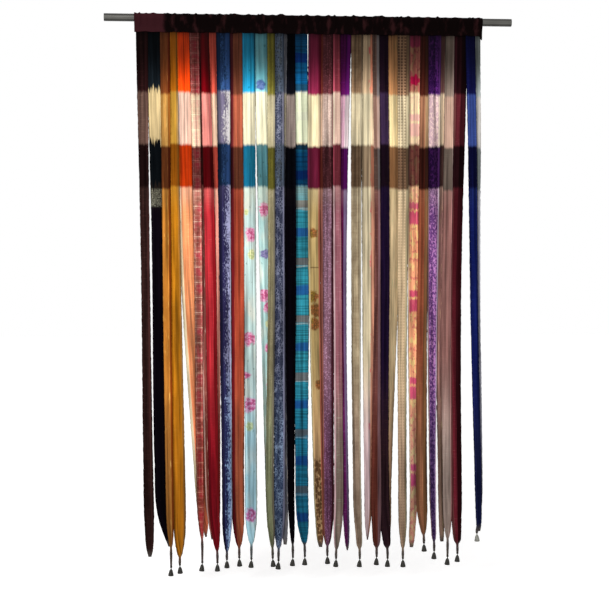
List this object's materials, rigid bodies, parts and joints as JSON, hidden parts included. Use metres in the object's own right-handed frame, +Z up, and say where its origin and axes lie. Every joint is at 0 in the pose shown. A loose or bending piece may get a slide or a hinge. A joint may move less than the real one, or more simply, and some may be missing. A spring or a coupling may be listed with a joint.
{
  "type": "ribbon doorway curtain",
  "caption": "Doorway curtain of long overlapping sari-cloth ribbons hung from a dark gathered header on a steel rod, many ribbons ending in a small bell.",
  "frame": {"origin": "middle of the rod, on its axis", "axes": "+X along the rod to the viewer's right, +Z up, -Y towards the viewer"},
  "size_m": [1.49, 0.0407, 2.0626],
  "materials": {
    "steel": "satin grey tube",
    "header_cloth": "matt, nearly black woven cloth",
    "dark_bell": "dark, dull metal",
    "pale_bell": "grey, worn metal",
    "maroon_brown_cloth": "thin printed sari cloth",
    "black_silk_cloth": "silky sari cloth with a slight sheen",
    "mustard_left_cloth": "silky sari cloth with a slight sheen",
    "mustard_right_cloth": "silky sari cloth with a slight sheen",
    "orange_cloth": "silky sari cloth with a slight sheen",
    "rose_ladder_cloth": "thin printed sari cloth",
    "brown_gilt_cloth": "thin printed sari cloth",
    "crimson_cloth": "thin printed sari cloth",
    "salmon_cloth": "thin printed sari cloth",
    "indigo_cloth": "thin printed sari cloth",
    "terracotta_cloth": "thin printed sari cloth",
    "aqua_rose_cloth": "thin printed sari cloth",
    "mint_rose_cloth": "thin printed sari cloth",
    "olive_cloth": "thin printed sari cloth",
    "slate_cloth": "thin printed sari cloth",
    "grey_plum_cloth": "thin printed sari cloth",
    "black_satin_cloth": "silky sari cloth with a slight sheen",
    "turquoise_cloth": "silky sari cloth with a slight sheen",
    "tan_paisley_cloth": "thin printed sari cloth",
    "mauve_cloth": "thin printed sari cloth",
    "rose_taupe_cloth": "thin printed sari cloth",
    "magenta_cloth": "thin printed sari cloth",
    "khaki_cloth": "thin printed sari cloth",
    "peach_cloth": "thin printed sari cloth",
    "umber_cloth": "thin printed sari cloth",
    "navy_indigo_cloth": "thin printed sari cloth",
    "gold_beige_cloth": "thin printed sari cloth",
    "tan_dash_cloth": "thin printed sari cloth",
    "coral_ikat_cloth": "thin printed sari cloth",
    "rust_cloth": "thin printed sari cloth",
    "violet_cloth": "thin printed sari cloth",
    "gold_brown_cloth": "thin printed sari cloth",
    "mauve_taupe_cloth": "thin printed sari cloth",
    "wine_cloth": "thin printed sari cloth",
    "royal_navy_cloth": "silky sari cloth with a slight sheen",
    "silver_cloth": "silky sari cloth with a slight sheen"
  },
  "bodies": {
    "root": {"rod": "steel", "header": "header_cloth", "ribbon_maroon_brown": "maroon_brown_cloth", "ribbon_black_silk": "black_silk_cloth", "ribbon_mustard_left": "mustard_left_cloth", "ribbon_mustard_right": "mustard_right_cloth", "ribbon_orange": "orange_cloth", "ribbon_rose_ladder": "rose_ladder_cloth", "ribbon_brown_gilt": "brown_gilt_cloth", "ribbon_crimson": "crimson_cloth", "ribbon_salmon": "salmon_cloth", "ribbon_indigo": "indigo_cloth", "ribbon_terracotta": "terracotta_cloth", "ribbon_aqua_rose": "aqua_rose_cloth", "ribbon_mint_rose": "mint_rose_cloth", "ribbon_olive": "olive_cloth", "ribbon_slate": "slate_cloth", "ribbon_grey_plum": "grey_plum_cloth", "ribbon_black_satin": "black_satin_cloth", "ribbon_turquoise": "turquoise_cloth", "ribbon_tan_paisley": "tan_paisley_cloth", "ribbon_mauve": "mauve_cloth", "ribbon_rose_taupe": "rose_taupe_cloth", "ribbon_magenta": "magenta_cloth", "ribbon_khaki": "khaki_cloth", "ribbon_peach": "peach_cloth", "ribbon_umber": "umber_cloth", "ribbon_navy_indigo": "navy_indigo_cloth", "ribbon_gold_beige": "gold_beige_cloth", "ribbon_tan_dash": "tan_dash_cloth", "ribbon_coral_ikat": "coral_ikat_cloth", "ribbon_rust": "rust_cloth", "ribbon_violet": "violet_cloth", "ribbon_gold_brown": "gold_brown_cloth", "ribbon_mauve_taupe": "mauve_taupe_cloth", "ribbon_wine": "wine_cloth", "ribbon_royal_navy": "royal_navy_cloth", "ribbon_silver": "silver_cloth", "bell_aqua_rose": "dark_bell", "bell_black_satin": "dark_bell", "bell_crimson": "dark_bell", "bell_indigo": "dark_bell", "bell_khaki": "dark_bell", "bell_mauve": "dark_bell", "bell_mauve_taupe": "dark_bell", "bell_mustard_left": "dark_bell", "bell_mustard_right": "dark_bell", "bell_navy_indigo": "dark_bell", "bell_olive": "dark_bell", "bell_rose_ladder": "dark_bell", "bell_rose_taupe": "dark_bell", "bell_rust": "dark_bell", "bell_silver": "pale_bell", "bell_slate": "dark_bell", "bell_tan_dash": "dark_bell", "bell_terracotta": "dark_bell", "bell_turquoise": "dark_bell", "bell_umber": "dark_bell", "bell_violet": "dark_bell", "bell_wine": "dark_bell"}
  },
  "joints": []
}
